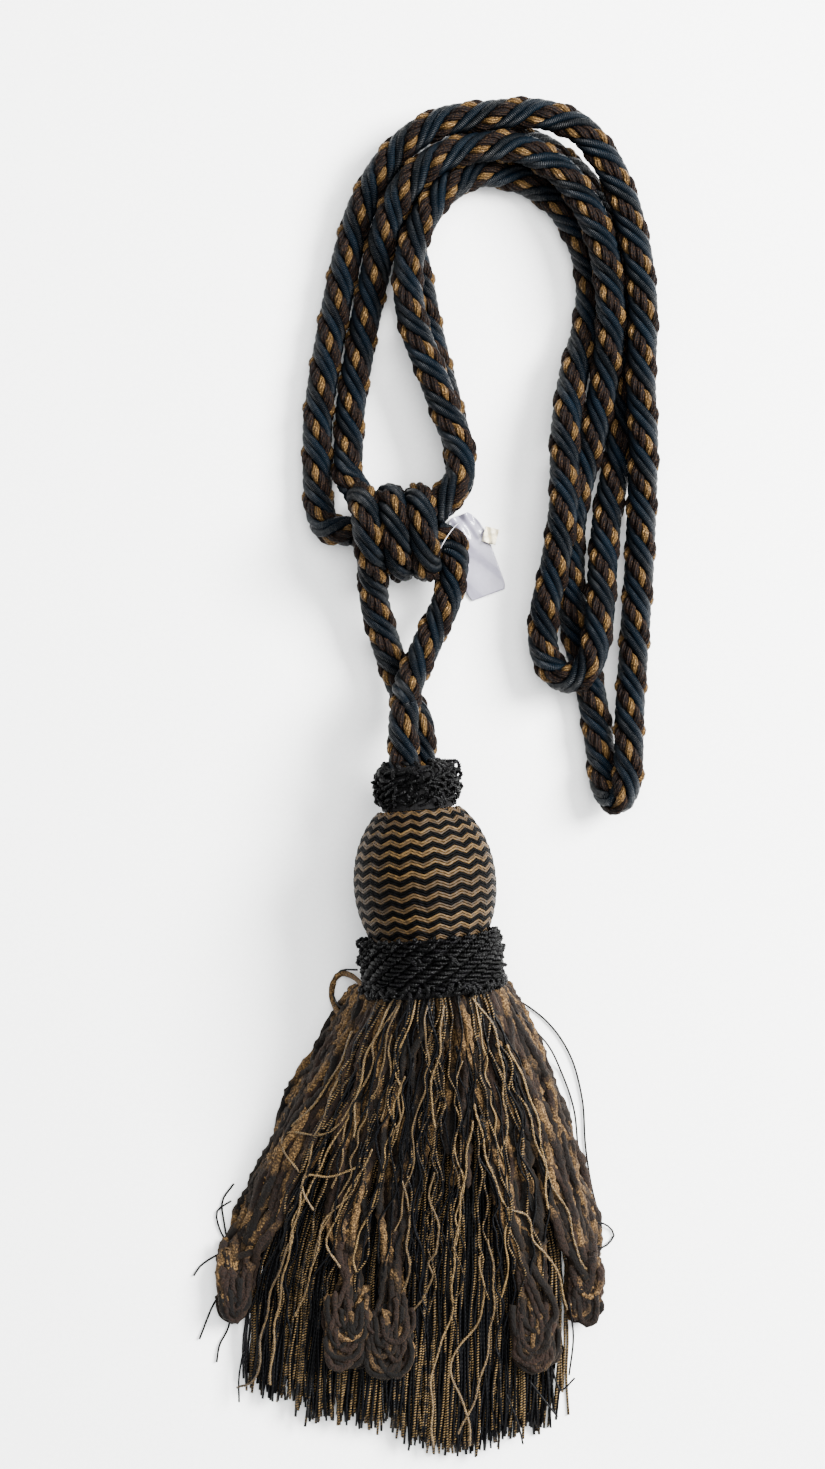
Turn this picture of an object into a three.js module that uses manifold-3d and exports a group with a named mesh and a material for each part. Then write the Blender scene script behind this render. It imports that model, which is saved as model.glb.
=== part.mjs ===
// Curtain tieback: a rope folded into a long and a short loop, wrapped into a knot, with a
// large tassel hanging from two rope legs. It lies on a table: +Y runs from the fringe's hem
// to the loops' arch, +Z is up, and the origin is on the table under the fringe.
import * as THREE from 'three';
import { mergeVertices } from 'three/addons/utils/BufferGeometryUtils.js';
import Module from 'manifold-3d';

const wasm = await Module();
wasm.setup();

// ---- driving dimensions, millimetres -------------------------------------------------

const GAP = 0.3;                 // clearance between neighbouring solids
const ROPE_RADIUS = 5.1;         // solid core of the 11 mm rope
const ROPE_SIDES = 10;
const ROUND_SIDES = 28;          // facets round a turned part

const TASSEL_CENTRE = [0, 112.5, 25.2];   // middle of the egg-shaped head
const TASSEL_LEAN = 5;                    // degrees that the tassel's axis leans from Y

const HEAD_TOP = 22;             // along the tassel's own axis, from the middle of the head
const HEAD_BOTTOM = -20.5;
const COVER_WALL = 1.2;
const BORE_RADIUS = 11.2;
const CAVITY_RADIUS = 14.2;      // room for the stopper knot
const CAVITY_TOP = 4;
const STOPPER_LOW = -17;
const TAIL_TOP = 45.6;           // where the rope's tails meet the legs
const TAILS = [['left_tail', 2.8, -4.6], ['right_tail', -2.8, 4.5]];   // name, x, z
const NECK_RADIUS = 17;          // where the fringe is tied on
const NECK_END = -40;

const UPPER_RUFF = { low: 22.4, high: 37, band: 12.2, loops: 14.7 };
const LOWER_RUFF = { low: -40, high: -20.9, heading: 20, band: 21.3, loops: 25 };

const KNOT_CENTRE = [-11, 229, 16.8];
const KNOT_LENGTH = 32;          // three turns of rope, side by side
const KNOT_TURNS = 3;
const WRAP_HEIGHT = 17.3;        // half the knot's size along Y
const WRAP_DEPTH = 16.4;         // half its size along Z
const KNOT_BORE = 6.4;
const KNOT_VALLEY = 3;           // depth of the groove between two turns
const LOOP_SWELL = 1.6;          // how far a looped trim bulges

// ---- finishes ------------------------------------------------------------------------

function finish(color, roughness) {
  return new THREE.MeshStandardMaterial({ color, roughness, metalness: 0 });
}

const COLOURS = {
  rope: 0x23232c,
  wood: 0xb08a5a,
  weave: 0x8a7350,
  ruff: 0x1c191c,
  fringe: 0x1b1d24,
  chenille: 0x4a3a30,
  tag: 0xd8d6e0,
  paper: 0xe6dfc8,
};

// ---- building helpers ----------------------------------------------------------------

const group = new THREE.Group();
group.name = 'tassel_tieback';

function addPart(parent, name, geometry, colour, roughness = 0.8) {
  const mesh = new THREE.Mesh(geometry, finish(colour, roughness));
  mesh.name = name;
  parent.add(mesh);
  return mesh;
}

function circle(radius, sides) {
  const shape = new THREE.Shape();
  for (let i = 0; i < sides; i += 1) {
    const angle = (2 * Math.PI * i) / sides;
    const x = radius * Math.cos(angle);
    const y = radius * Math.sin(angle);
    if (i === 0) shape.moveTo(x, y);
    else shape.lineTo(x, y);
  }
  shape.closePath();
  return shape;
}

// A cord's route is sampled at its own points, so they sit closer together at a tight bend.
class Route extends THREE.CatmullRomCurve3 {
  constructor(points) {
    super(points.map((p) => new THREE.Vector3(...p)), false, 'catmullrom', 0.5);
  }

  getUtoTmapping(u) {
    return u;
  }
}

function tube(points, radius, sides = ROPE_SIDES) {
  return new THREE.ExtrudeGeometry(circle(radius, sides), {
    steps: points.length - 1,
    bevelEnabled: false,
    extrudePath: new Route(points),
  });
}

function lathe(profile, sides = ROUND_SIDES) {
  return new THREE.LatheGeometry(profile.map(([r, y]) => new THREE.Vector2(r, y)), sides);
}

function ring(inner, outer, low, high) {
  return lathe([[inner, high], [inner, low], [outer, low], [outer, high], [inner, high]]);
}

// A looped trim: a ring whose outer wall bulges.
function looped(inner, outer, low, high) {
  const bulge = [];
  const count = 5;
  for (let i = 0; i <= count; i += 1) {
    const part = i / count;
    const swell = Math.sin(Math.PI * part);
    bulge.push([outer - LOOP_SWELL * (1 - swell), low + (high - low) * part]);
  }
  return lathe([[inner, high], [inner, low], ...bulge, [inner, high]]);
}

function positionsOnly(geometry) {
  const bare = geometry.clone();
  bare.deleteAttribute('normal');
  bare.deleteAttribute('uv');
  return mergeVertices(bare, 1e-4);
}

function solid(geometry) {
  const merged = positionsOnly(geometry);
  return new wasm.Manifold(new wasm.Mesh({
    numProp: 3,
    vertProperties: new Float32Array(merged.attributes.position.array),
    triVerts: new Uint32Array(merged.index.array),
  }));
}

function surface(manifold) {
  const mesh = manifold.getMesh();
  const geometry = new THREE.BufferGeometry();
  geometry.setAttribute('position', new THREE.BufferAttribute(mesh.vertProperties, 3));
  geometry.setIndex(new THREE.BufferAttribute(mesh.triVerts, 1));
  return geometry;
}

// A lying bundle of threads: domed sections with a flat underside, joined along Y.
// Each station is [y, left, right, height].
function layer(stations, base, grow = 0) {
  const arc = 12;
  const positions = [];
  const index = [];
  stations.forEach(([y, left, right, height]) => {
    const middle = (left + right) / 2;
    const half = (right - left) / 2 + grow;
    for (let i = 0; i <= arc; i += 1) {
      const angle = (Math.PI * i) / arc;
      const rise = Math.sin(angle) ** 0.8;
      positions.push(middle + half * Math.cos(angle), y, base + (height + grow - base) * rise);
    }
  });
  const ringSize = arc + 1;
  for (let s = 0; s < stations.length - 1; s += 1) {
    for (let i = 0; i < ringSize; i += 1) {
      const a = s * ringSize + i;
      const b = s * ringSize + ((i + 1) % ringSize);
      index.push(b, a, a + ringSize, b + ringSize, b, a + ringSize);
    }
  }
  const last = (stations.length - 1) * ringSize;
  for (let i = 1; i < arc; i += 1) {
    index.push(0, i, i + 1);
    index.push(last, last + i + 1, last + i);
  }
  const geometry = new THREE.BufferGeometry();
  geometry.setAttribute('position', new THREE.Float32BufferAttribute(positions, 3));
  geometry.setIndex(index);
  return geometry;
}

// ---- rope: loops, knot and legs ------------------------------------------------------

// The long loop leaves the knot on the left, runs over the arch and back.
const LONG_LOOP = [
  [-30.2, 230.4, 10.6], [-34, 232, 8.6], [-36.4, 240, 6.5], [-36.9, 254, 5.7],
  [-36.4, 272, 5.6], [-32.3, 298, 5.8], [-26.6, 325, 6.7], [-20.4, 344, 8.5],
  [-10.2, 359.5, 11], [4, 369.3, 13.4], [22, 372, 15.2], [40, 372.2, 16.1], [54.5, 366, 16.3],
  [65.2, 350.5, 16.4], [72.1, 328, 16.5], [74.8, 305, 16.4], [74.2, 282, 15.7],
  [75.2, 260, 13.6], [75, 240, 9.9], [74.2, 217, 7.4], [72.6, 193, 7.4], [70.8, 168, 9.6],
  [70.2, 153.1, 12.5], [69.5, 143.5, 13.1], [66.2, 137.2, 11.1], [62.4, 142.5, 8],
  [61.1, 152.9, 5.9], [59.2, 166, 5.6], [56.5, 180.1, 5.5], [52.4, 196, 5.6], [50.5, 215, 5.6],
  [51.4, 237, 6.2], [57.6, 261.8, 9.2], [62.1, 282.8, 13.1], [63.9, 306, 15.6],
  [60.1, 330, 16.7], [50, 349, 17.1], [35, 359.6, 17.4], [20, 360.6, 17.6], [4.8, 356.7, 17.4],
  [-6.9, 346.7, 16.1], [-13.5, 332.2, 12.9], [-17.5, 316, 8.8], [-21.3, 298, 6.3],
  [-25.1, 275, 5.6], [-26, 262, 6.3], [-26.3, 254, 7.7], [-26.5, 249.4, 9.4],
];

// The short loop's two strands lie on each other where they leave the knot's right side.
const SHORT_LOOP = [
  [8.6, 242.6, 22], [11.8, 248, 19.9], [12.2, 258, 18.1], [8.2, 268, 17], [2.4, 284, 16.7],
  [-3.6, 300, 16.9], [-5.7, 316, 17.1], [-2.9, 330.6, 16.4], [4.9, 344.5, 13.1],
  [17.9, 353.4, 9], [33, 352, 6.6], [45.6, 344, 5.7], [53.9, 331, 5.6], [57.4, 316, 5.8],
  [55.9, 300, 7.4], [51.3, 283.3, 11.1], [48.2, 262.2, 15.1], [47.8, 240, 16.6], [45, 219, 15],
  [41.5, 203, 12], [41, 191, 10.3], [44.2, 182.4, 11.5], [50, 179.1, 14.6],
  [55.6, 183.1, 16.6], [58.8, 192, 15.7], [60.6, 206, 13.1], [61.6, 220, 9.6],
  [63.6, 238, 6.9], [67.5, 258, 5.7], [70.1, 281.9, 5.6], [70.3, 304, 5.6], [66.5, 328, 5.6],
  [57, 348, 5.7], [42, 361.6, 5.8], [26, 365.6, 5.8], [10, 361.8, 5.7], [-1.2, 350.6, 5.6],
  [-5.2, 335, 5.5], [-2, 318, 5.6], [1.4, 300, 5.6], [5.4, 284, 5.6], [10, 267, 5.8],
  [12.4, 254, 6.2], [11.8, 246.6, 7.9], [8.6, 242, 10.4],
];

const LEFT_LEG = [
  [-17.2, 210.8, 15], [-16.6, 203.5, 12.8], [-14, 194, 11.3], [-11, 185, 10.6], [-8.8, 179, 10.6],
];

const RIGHT_LEG = [
  [8.9, 226, 16.4], [11.3, 221, 14], [10.2, 212.5, 12.5], [7.2, 203.6, 13.2],
  [2.4, 194.5, 15.9], [-1.7, 185.1, 19.3], [-4.6, 179.2, 20.9],
];

const LEFT_LEG_END = [
  [-8.2, 177.2, 10.8], [-4.7, 170, 12.4], [-2, 163.8, 18.8], [-1.7, 160.7, 20.4],
];
const RIGHT_LEG_END = [
  [-5.3, 177.2, 21.6], [-6.6, 170, 26.8], [-7.1, 163.8, 29.6], [-7.1, 160.7, 30],
];

function addRope() {
  addPart(group, 'long_loop', tube(LONG_LOOP, ROPE_RADIUS), COLOURS.rope, 0.6);
  addPart(group, 'short_loop', tube(SHORT_LOOP, ROPE_RADIUS), COLOURS.rope, 0.6);
  addPart(group, 'left_leg', tube(LEFT_LEG, ROPE_RADIUS), COLOURS.rope, 0.6);
  addPart(group, 'right_leg', tube(RIGHT_LEG, ROPE_RADIUS), COLOURS.rope, 0.6);
  addPart(group, 'left_leg_end', tube(LEFT_LEG_END, ROPE_RADIUS), COLOURS.rope, 0.6);
  addPart(group, 'right_leg_end', tube(RIGHT_LEG_END, ROPE_RADIUS), COLOURS.rope, 0.6);
}

// Turned about the knot's own axis, then laid along X and flattened.
function layKnotPiece(mesh) {
  mesh.rotation.z = -Math.PI / 2;
  mesh.scale.z = WRAP_DEPTH / WRAP_HEIGHT;
  mesh.position.set(...KNOT_CENTRE);
}

function addKnot() {
  const half = KNOT_LENGTH / 2;
  const pitch = KNOT_LENGTH / KNOT_TURNS;
  const lobes = [];
  for (let turn = 0; turn < KNOT_TURNS; turn += 1) {
    for (let i = 0; i < 4; i += 1) {
      const along = -half + pitch * (turn + i / 4);
      const depth = [KNOT_VALLEY + 0.8, 0.8, 0, 0.8][i];
      lobes.push([WRAP_HEIGHT - depth, along]);
    }
  }
  const profile = [[KNOT_BORE, half], [KNOT_BORE, -half], ...lobes];
  profile.push([WRAP_HEIGHT - KNOT_VALLEY - 0.8, half], [KNOT_BORE, half]);
  layKnotPiece(addPart(group, 'knot_wraps', lathe(profile), COLOURS.rope, 0.6));

  const core = KNOT_BORE - GAP;
  const tucked = [[0, -half], [core - 1.5, -half], [core, -half + 3], [core, half - 3]];
  tucked.push([core - 1.5, half], [0, half]);
  layKnotPiece(addPart(group, 'tucked_strands', lathe(tucked), COLOURS.rope, 0.6));
}

// ---- hang tag ------------------------------------------------------------------------

const TAG_THICKNESS = 0.8;
const TAG_LIFT = 0.5;            // height of its underside
const TAG_SIZE = [15, 33];
const TAG_CENTRE = [19.5, 222.5];
const TAG_TURN = 20;             // degrees
const TAG_HOLE = [-4, 11.5];     // from the tag's middle
const TAG_CORNER = 3;
const EYELET_AT = [24.4, 229.4];
const TAG_THREAD = [
  [17.2, 222.4, 15.8], [18.4, 226, 12], [17.4, 229.6, 7], [14.6, 232.6, 3.4], [11.8, 234.6, 2.2],
];

function addTag() {
  const [width, length] = TAG_SIZE;
  const corner = TAG_CORNER;
  const shape = new THREE.Shape();
  shape.moveTo(-width / 2, length / 2 - corner);
  shape.lineTo(-width / 2, -length / 2 + corner);
  shape.lineTo(-width / 2 + corner, -length / 2);
  shape.lineTo(width / 2 - corner, -length / 2);
  shape.lineTo(width / 2, -length / 2 + corner);
  shape.lineTo(width / 2, length / 2 - corner);
  shape.lineTo(width / 2 - corner, length / 2);
  shape.lineTo(-width / 2 + corner, length / 2);
  shape.closePath();
  const hole = new THREE.Path();
  hole.absarc(...TAG_HOLE, 1.5, 0, 2 * Math.PI, true);
  shape.holes.push(hole);
  const sheet = new THREE.ExtrudeGeometry(shape, { depth: TAG_THICKNESS, bevelEnabled: false });
  const tag = addPart(group, 'tag_sheet', sheet, COLOURS.tag, 0.35);
  tag.position.set(...TAG_CENTRE, TAG_LIFT);
  tag.rotation.z = THREE.MathUtils.degToRad(TAG_TURN);

  const eyelet = addPart(group, 'tag_eyelet', ring(1.2, 2.4, 0, 0.8), COLOURS.paper, 0.9);
  eyelet.rotation.x = Math.PI / 2;
  eyelet.position.set(...EYELET_AT, TAG_LIFT + TAG_THICKNESS + GAP + 0.8);

  addPart(group, 'tag_thread', tube(TAG_THREAD, 0.4, 8), COLOURS.tag, 0.3);
}

// ---- tassel --------------------------------------------------------------------------

const tassel = new THREE.Group();
tassel.position.set(...TASSEL_CENTRE);
tassel.rotation.z = THREE.MathUtils.degToRad(TASSEL_LEAN);
group.add(tassel);

// The head's outline, radius against height, widest a little below the middle.
const EGG = new THREE.SplineCurve([
  new THREE.Vector2(19.2, HEAD_BOTTOM),
  new THREE.Vector2(22.4, -13),
  new THREE.Vector2(23.8, -3),
  new THREE.Vector2(22.9, 6),
  new THREE.Vector2(19.4, 15),
  new THREE.Vector2(14.2, HEAD_TOP),
]);

function eggProfile(shrink) {
  return EGG.getPoints(9).map((p) => [p.x - shrink, p.y]);
}

function addHead() {
  const inner = eggProfile(COVER_WALL + GAP);
  const mould = [
    [BORE_RADIUS, CAVITY_TOP], [CAVITY_RADIUS, CAVITY_TOP], [CAVITY_RADIUS, NECK_END],
    [NECK_RADIUS, NECK_END], [NECK_RADIUS, HEAD_BOTTOM], ...inner,
    [BORE_RADIUS, HEAD_TOP], [BORE_RADIUS, CAVITY_TOP],
  ];
  addPart(tassel, 'head_mould', lathe(mould), COLOURS.wood, 0.7);

  const outer = eggProfile(0);
  const wall = eggProfile(COVER_WALL);
  const cover = [...wall.slice().reverse(), ...outer, wall[wall.length - 1]];
  addPart(tassel, 'head_cover', lathe(cover), COLOURS.weave, 0.8);
}

function addRuffs() {
  const up = UPPER_RUFF;
  addPart(tassel, 'upper_ruff_band', ring(BORE_RADIUS, up.band, up.low, up.high), COLOURS.ruff, 0.9);
  const upperLoops = looped(up.band + GAP, up.loops, up.low, up.high);
  addPart(tassel, 'upper_ruff_loops', upperLoops, COLOURS.ruff, 0.9);

  const down = LOWER_RUFF;
  const heading = ring(NECK_RADIUS + GAP, down.heading, down.low, down.high);
  addPart(tassel, 'fringe_heading', heading, COLOURS.fringe, 0.8);
  const band = ring(down.heading + GAP, down.band, down.low, down.high);
  addPart(tassel, 'lower_ruff_band', band, COLOURS.ruff, 0.9);
  const lowerLoops = looped(down.band + GAP, down.loops, down.low, down.high);
  addPart(tassel, 'lower_ruff_loops', lowerLoops, COLOURS.ruff, 0.9);
}

function addStopper() {
  const radius = CAVITY_RADIUS - GAP;
  const high = CAVITY_TOP - GAP;
  const knot = [[0, STOPPER_LOW], [radius * 0.6, STOPPER_LOW], [radius, STOPPER_LOW + 6]];
  knot.push([radius, high - 6]);
  knot.push([radius * 0.86, high - GAP], [0, high - GAP]);
  addPart(tassel, 'stopper_knot', lathe(knot, 20), COLOURS.rope, 0.7);

  const tailLow = CAVITY_TOP + GAP;
  TAILS.forEach(([name, x, z]) => {
    const middle = (TAIL_TOP + tailLow) / 2;
    const route = [[x, TAIL_TOP, z], [x, middle, z], [x, tailLow, z]];
    addPart(tassel, name, tube(route, ROPE_RADIUS), COLOURS.rope, 0.6);
  });
}

// ---- fringe --------------------------------------------------------------------------

// [y, left edge, right edge, height]; the cut cords lie flat and fan out to the hem.
const CUT_FRINGE = [
  [-84, -2, 26, 6], [-78, -30, 40, 7.5], [-68, -56, 46, 9], [-50, -59, 47.5, 11],
  [-25, -57, 47, 14], [0, -49, 44, 18], [25, -38, 38, 24], [50, -26, 30, 33], [70.5, -17, 22, 42],
];

// The chenille lies over the cut cords and spreads wider.
const CHENILLE_FRINGE = [
  [-20, -66, 60, 19.5], [-2, -62, 57.5, 23.5], [22, -52, 53.5, 30], [42, -41, 48, 37],
  [58, -33, 41, 43], [70.5, -25, 30, 48],
];

// Looped ends of the chenille: [name, x, y of the upper end, y of the lower end, half width,
// half height, height of the middle].
const HANGERS = [
  ['chenille_end_1', -63.6, -21.4, -43, 6, 4.4, 5],
  ['chenille_end_2', -26.5, -21.4, -56.5, 6.5, 4, 18.2],
  ['chenille_end_3', -11.5, -21.4, -61, 6, 4, 18.4],
  ['chenille_end_4', 37, -21.4, -59, 7, 3.6, 16.8],
  ['chenille_end_5', 55.2, -21.4, -44, 5.6, 4.4, 5],
];

function addFringe() {
  addPart(group, 'cut_fringe', layer(CUT_FRINGE, 0), COLOURS.fringe, 0.7);
  const over = solid(layer(CHENILLE_FRINGE, 0));
  const under = solid(layer(CUT_FRINGE, -0.1, GAP));
  addPart(group, 'chenille_fringe', surface(over.subtract(under)), COLOURS.chenille, 0.95);
  HANGERS.forEach(([name, x, top, low, halfWidth, halfHeight, middle]) => {
    const length = top - low;
    const profile = [
      [0, low], [0.62, low + 1.2], [0.94, low + 5], [1, low + length * 0.5], [0.8, top], [0, top],
    ];
    const bundle = addPart(group, name, lathe(profile, 12), COLOURS.chenille, 0.95);
    bundle.scale.set(halfWidth, 1, halfHeight);
    bundle.position.set(x, 0, middle);
  });
}

addRope();
addKnot();
addTag();
addHead();
addRuffs();
addStopper();
addFringe();

export default group;
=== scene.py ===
import math

import bpy
import numpy as np
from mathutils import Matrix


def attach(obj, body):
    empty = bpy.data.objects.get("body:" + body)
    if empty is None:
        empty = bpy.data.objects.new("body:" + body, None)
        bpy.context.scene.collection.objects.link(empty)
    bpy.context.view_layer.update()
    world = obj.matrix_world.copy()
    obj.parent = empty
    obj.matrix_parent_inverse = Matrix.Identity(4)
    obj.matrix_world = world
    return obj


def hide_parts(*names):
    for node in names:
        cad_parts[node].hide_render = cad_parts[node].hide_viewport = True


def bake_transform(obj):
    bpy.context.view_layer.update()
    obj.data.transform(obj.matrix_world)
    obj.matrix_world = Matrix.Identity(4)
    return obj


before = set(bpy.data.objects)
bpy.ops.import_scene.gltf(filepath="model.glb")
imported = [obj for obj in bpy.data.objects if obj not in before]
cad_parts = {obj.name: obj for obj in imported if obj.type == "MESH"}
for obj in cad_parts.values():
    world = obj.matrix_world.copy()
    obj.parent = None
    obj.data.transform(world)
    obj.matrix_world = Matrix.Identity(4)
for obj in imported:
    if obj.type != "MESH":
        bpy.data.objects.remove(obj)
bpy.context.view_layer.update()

# A curtain tieback lying on a table. Lengths below are millimetres; meshes are made in metres.
MM = 0.001
TAU = 2 * math.pi
UP = (0, 0, 1)
chance = np.random.default_rng(7)

# ---- the rope ------------------------------------------------------------------------

ROPE_LEAD = 31            # one full turn of the four strands
BLACK_AT = 3.55           # from the rope's middle to a black strand's middle
CORD_AT = 1.25            # from there to each of its two cords
CORD_RADIUS = 1.58
SPECKLED_AT = 3.35        # from the rope's middle to a speckled strand's middle
PLY_AT = 1.22             # from there to each of its three plies
GOLD_PLY_RADIUS = 1.42    # where it shows on the outside of its strand
GOLD_HIDDEN = 0.62        # its share of that where the dark plies close over it
DARK_PLY_RADIUS = 1.28
PLY_LEAD = 7.6
ROPE_STEP = 0.8
ROPE_FLOOR = 6.1          # the lowest the middle of a rope on the table lies

LONG_LOOP = [
    (-23.5, 229.5, 12.6), (-30.2, 230.4, 10.6), (-34, 232, 8.6), (-36.4, 240, 6.5),
    (-36.9, 254, 5.7), (-36.4, 272, 5.6), (-32.3, 298, 5.8), (-26.6, 325, 6.7),
    (-20.4, 344, 8.5), (-10.2, 359.5, 11), (4, 369.3, 13.4), (22, 372, 15.2),
    (40, 372.2, 16.1), (54.5, 366, 16.3), (65.2, 350.5, 16.4), (72.1, 328, 16.5),
    (74.8, 305, 16.4), (74.2, 282, 15.7), (75.2, 260, 13.6), (75, 240, 9.9), (74.2, 217, 7.4),
    (72.6, 193, 7.4), (70.8, 168, 9.6), (70.2, 153.1, 12.5), (69.5, 143.5, 13.1),
    (66.2, 137.2, 11.1), (62.4, 142.5, 8), (61.1, 152.9, 5.9), (59.2, 166, 5.6),
    (56.5, 180.1, 5.5), (52.4, 196, 5.6), (50.5, 215, 5.6), (51.4, 237, 6.2),
    (57.6, 261.8, 9.2), (62.1, 282.8, 13.1), (63.9, 306, 15.6), (60.1, 330, 16.7),
    (50, 349, 17.1), (35, 359.6, 17.4), (20, 360.6, 17.6), (4.8, 356.7, 17.4),
    (-6.9, 346.7, 16.1), (-13.5, 332.2, 12.9), (-17.5, 316, 8.8), (-21.3, 298, 6.3),
    (-25.1, 275, 5.6), (-26, 262, 6.3), (-26.3, 254, 7.7), (-26.5, 249.4, 9.4),
    (-23, 243.5, 12.2),
]

SHORT_LOOP = [
    (3, 236, 20), (8.6, 242.6, 22), (11.8, 248, 19.9), (12.2, 258, 18.1), (8.2, 268, 17),
    (2.4, 284, 16.7), (-3.6, 300, 16.9), (-5.7, 316, 17.1), (-2.9, 330.6, 16.4),
    (4.9, 344.5, 13.1), (17.9, 353.4, 9), (33, 352, 6.6), (45.6, 344, 5.7), (53.9, 331, 5.6),
    (57.4, 316, 5.8), (55.9, 300, 7.4), (51.3, 283.3, 11.1), (48.2, 262.2, 15.1),
    (47.8, 240, 16.6), (45, 219, 15), (41.5, 203, 12), (41, 191, 10.3), (44.2, 182.4, 11.5),
    (50, 179.1, 14.6), (55.6, 183.1, 16.6), (58.8, 192, 15.7), (60.6, 206, 13.1),
    (61.6, 220, 9.6), (63.6, 238, 6.9), (67.5, 258, 5.7), (70.1, 281.9, 5.6), (70.3, 304, 5.6),
    (66.5, 328, 5.6), (57, 348, 5.7), (42, 361.6, 5.8), (26, 365.6, 5.8), (10, 361.8, 5.7),
    (-1.2, 350.6, 5.6), (-5.2, 335, 5.5), (-2, 318, 5.6), (1.4, 300, 5.6), (5.4, 284, 5.6),
    (10, 267, 5.8), (12.4, 254, 6.2), (11.8, 246.6, 7.9), (8.6, 242, 10.4), (3, 236, 12.5),
]

KNOT_CENTRE = np.array((-11, 229, 16.8))
WRAP_RISE = 11.8          # from the knot's middle to a wrap's middle, along Y
WRAP_DEPTH = 10.9         # the same, along Z
WRAPS = [(-17, -21.5), (-7.5, -12), (1, -2)]    # X at the foot and at the top of each pass
TUCK_X = 0                # where the last pass goes in behind the others

LEFT_LEG = [
    (-1.2, 117, 20.6), (-1.2, 139, 20.6), (-1.2, 158.2, 20.6), (-2, 163.8, 18.8),
    (-4.7, 170, 12.4), (-8.2, 177.2, 10.8), (-11, 185, 10.6), (-14, 194, 11.3),
    (-16.6, 203.5, 12.8), (-17.4, 210.8, 15.4),
]
RIGHT_LEG = [
    (-6.2, 117, 29.7), (-6.8, 139, 29.7), (-7.1, 158.2, 29.8), (-7.1, 163.8, 29.6),
    (-6.6, 170, 26.8), (-5.3, 177.2, 21.6), (-1.7, 185.1, 19.3), (2.4, 194.5, 15.9),
    (6.8, 203.6, 13.2), (9.4, 212.5, 12.5), (10.4, 221, 14), (8.9, 226, 16.4), (2.5, 228.5, 17),
]
LEG_SPLIT = 169           # Y where each leg changes from the knot's piece to the tassel's

# ---- the tassel ----------------------------------------------------------------------

TASSEL_CENTRE = np.array((0, 112.5, 25.2))
TASSEL_LEAN = math.radians(5)
HEAD_RADIUS = 23.8
HEAD_HALF = 30.6          # half the length of the whole egg
HEAD_MIDDLE = -3          # where it is widest, along the tassel's axis
HEAD_TOP = 22
HEAD_BOTTOM = -22.5
ZIGZAGS = 18
ZIGZAG_RISE = 0.85
BAND_PITCH = 3.7
BAND_THREADS = 4

UPPER_RUFF = (23.6, 37.8)    # along the tassel's axis
UPPER_RUFF_RADIUS = 11.8
UPPER_ROUNDING = 3.4         # how much smaller the radius is at both of its edges
UPPER_CURLS = 190
LOWER_RUFF = (-39.5, -20.5)
LOWER_RUFF_RADIUS = 22.2
LOWER_CURLS = 150
RIDGES = 22
RIDGE_SLANT = 1.5            # how far a ridge goes round for each millimetre up
GOLDEN = 0.618034            # scatters the small loops evenly
STOPPER_TURNS = 1.4
STOPPER_RADIUS = 8
STOPPER_LENGTH = 14

# The spread of the cut cords and of the chenille: Y, left edge, right edge, top height.
CUT_SPREAD = np.array([
    (-90, -62, 46, 6.4), (-68, -61, 46.5, 9), (-50, -59.5, 47, 11), (-25, -57, 47, 14),
    (0, -49, 44, 18), (25, -38, 38, 24), (50, -27, 31, 33), (72, -17, 22, 43),
])
CHENILLE_SPREAD = np.array([
    (-44, -66, 58, 12.5), (-32, -66, 60, 15.5), (-20, -66, 60, 19.5), (-2, -62, 57.5, 23.5),
    (22, -52, 53.5, 30), (42, -41, 48, 37), (58, -33, 41, 43), (66, -28, 34, 45), (73, -24, 28, 44),
])
# The hem's ragged edge: X, Y.
HEM = np.array([
    (-62, -66), (-50, -68), (-42, -72), (-36, -77), (-27, -76), (-20, -78), (-8, -79), (-4, -84),
    (2, -87), (14, -88), (22, -84), (32, -81), (38, -79), (42, -76), (47, -70),
])

# ---- meshes made of threads ----------------------------------------------------------


def unit(vectors):
    return vectors / np.linalg.norm(vectors, axis=-1, keepdims=True)


def resample(path, step):
    """The same line with points an even distance apart."""
    path = np.asarray(path, float)
    run = np.linalg.norm(np.diff(path, axis=0), axis=1)
    length = np.concatenate([[0], np.cumsum(run)])
    even = np.linspace(0, length[-1], max(3, round(length[-1] / step) + 1))
    return np.column_stack([np.interp(even, length, path[:, axis]) for axis in range(3)])


def curve(points, step):
    """A smooth curve through points, with points an even distance apart."""
    points = np.asarray(points, float)
    ends = np.vstack([2 * points[0] - points[1], points, 2 * points[-1] - points[-2]])
    t = np.linspace(0, 1, 12, endpoint=False)[:, None]
    fine = []
    for a, b, c, d in zip(ends, ends[1:], ends[2:], ends[3:]):
        bend = (2 * a - 5 * b + 4 * c - d) * t ** 2 + (3 * b - a - 3 * c + d) * t ** 3
        fine.append(0.5 * (2 * b + (c - a) * t + bend))
    return resample(np.vstack(fine + [points[-1:]]), step)


def travel(path):
    run = np.linalg.norm(np.diff(path, axis=0), axis=1)
    return np.concatenate([[0], np.cumsum(run)])


def carried_normals(path):
    """A direction square to the path that turns as little as it can."""
    tangent = unit(np.gradient(path, axis=0))
    normals = np.zeros_like(path)
    last = np.cross(tangent[0], (0.13, 0.2, 1))
    for i, along in enumerate(tangent):
        last = last - along * last.dot(along)
        last = last / np.linalg.norm(last)
        normals[i] = last
    return tangent, normals


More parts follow.
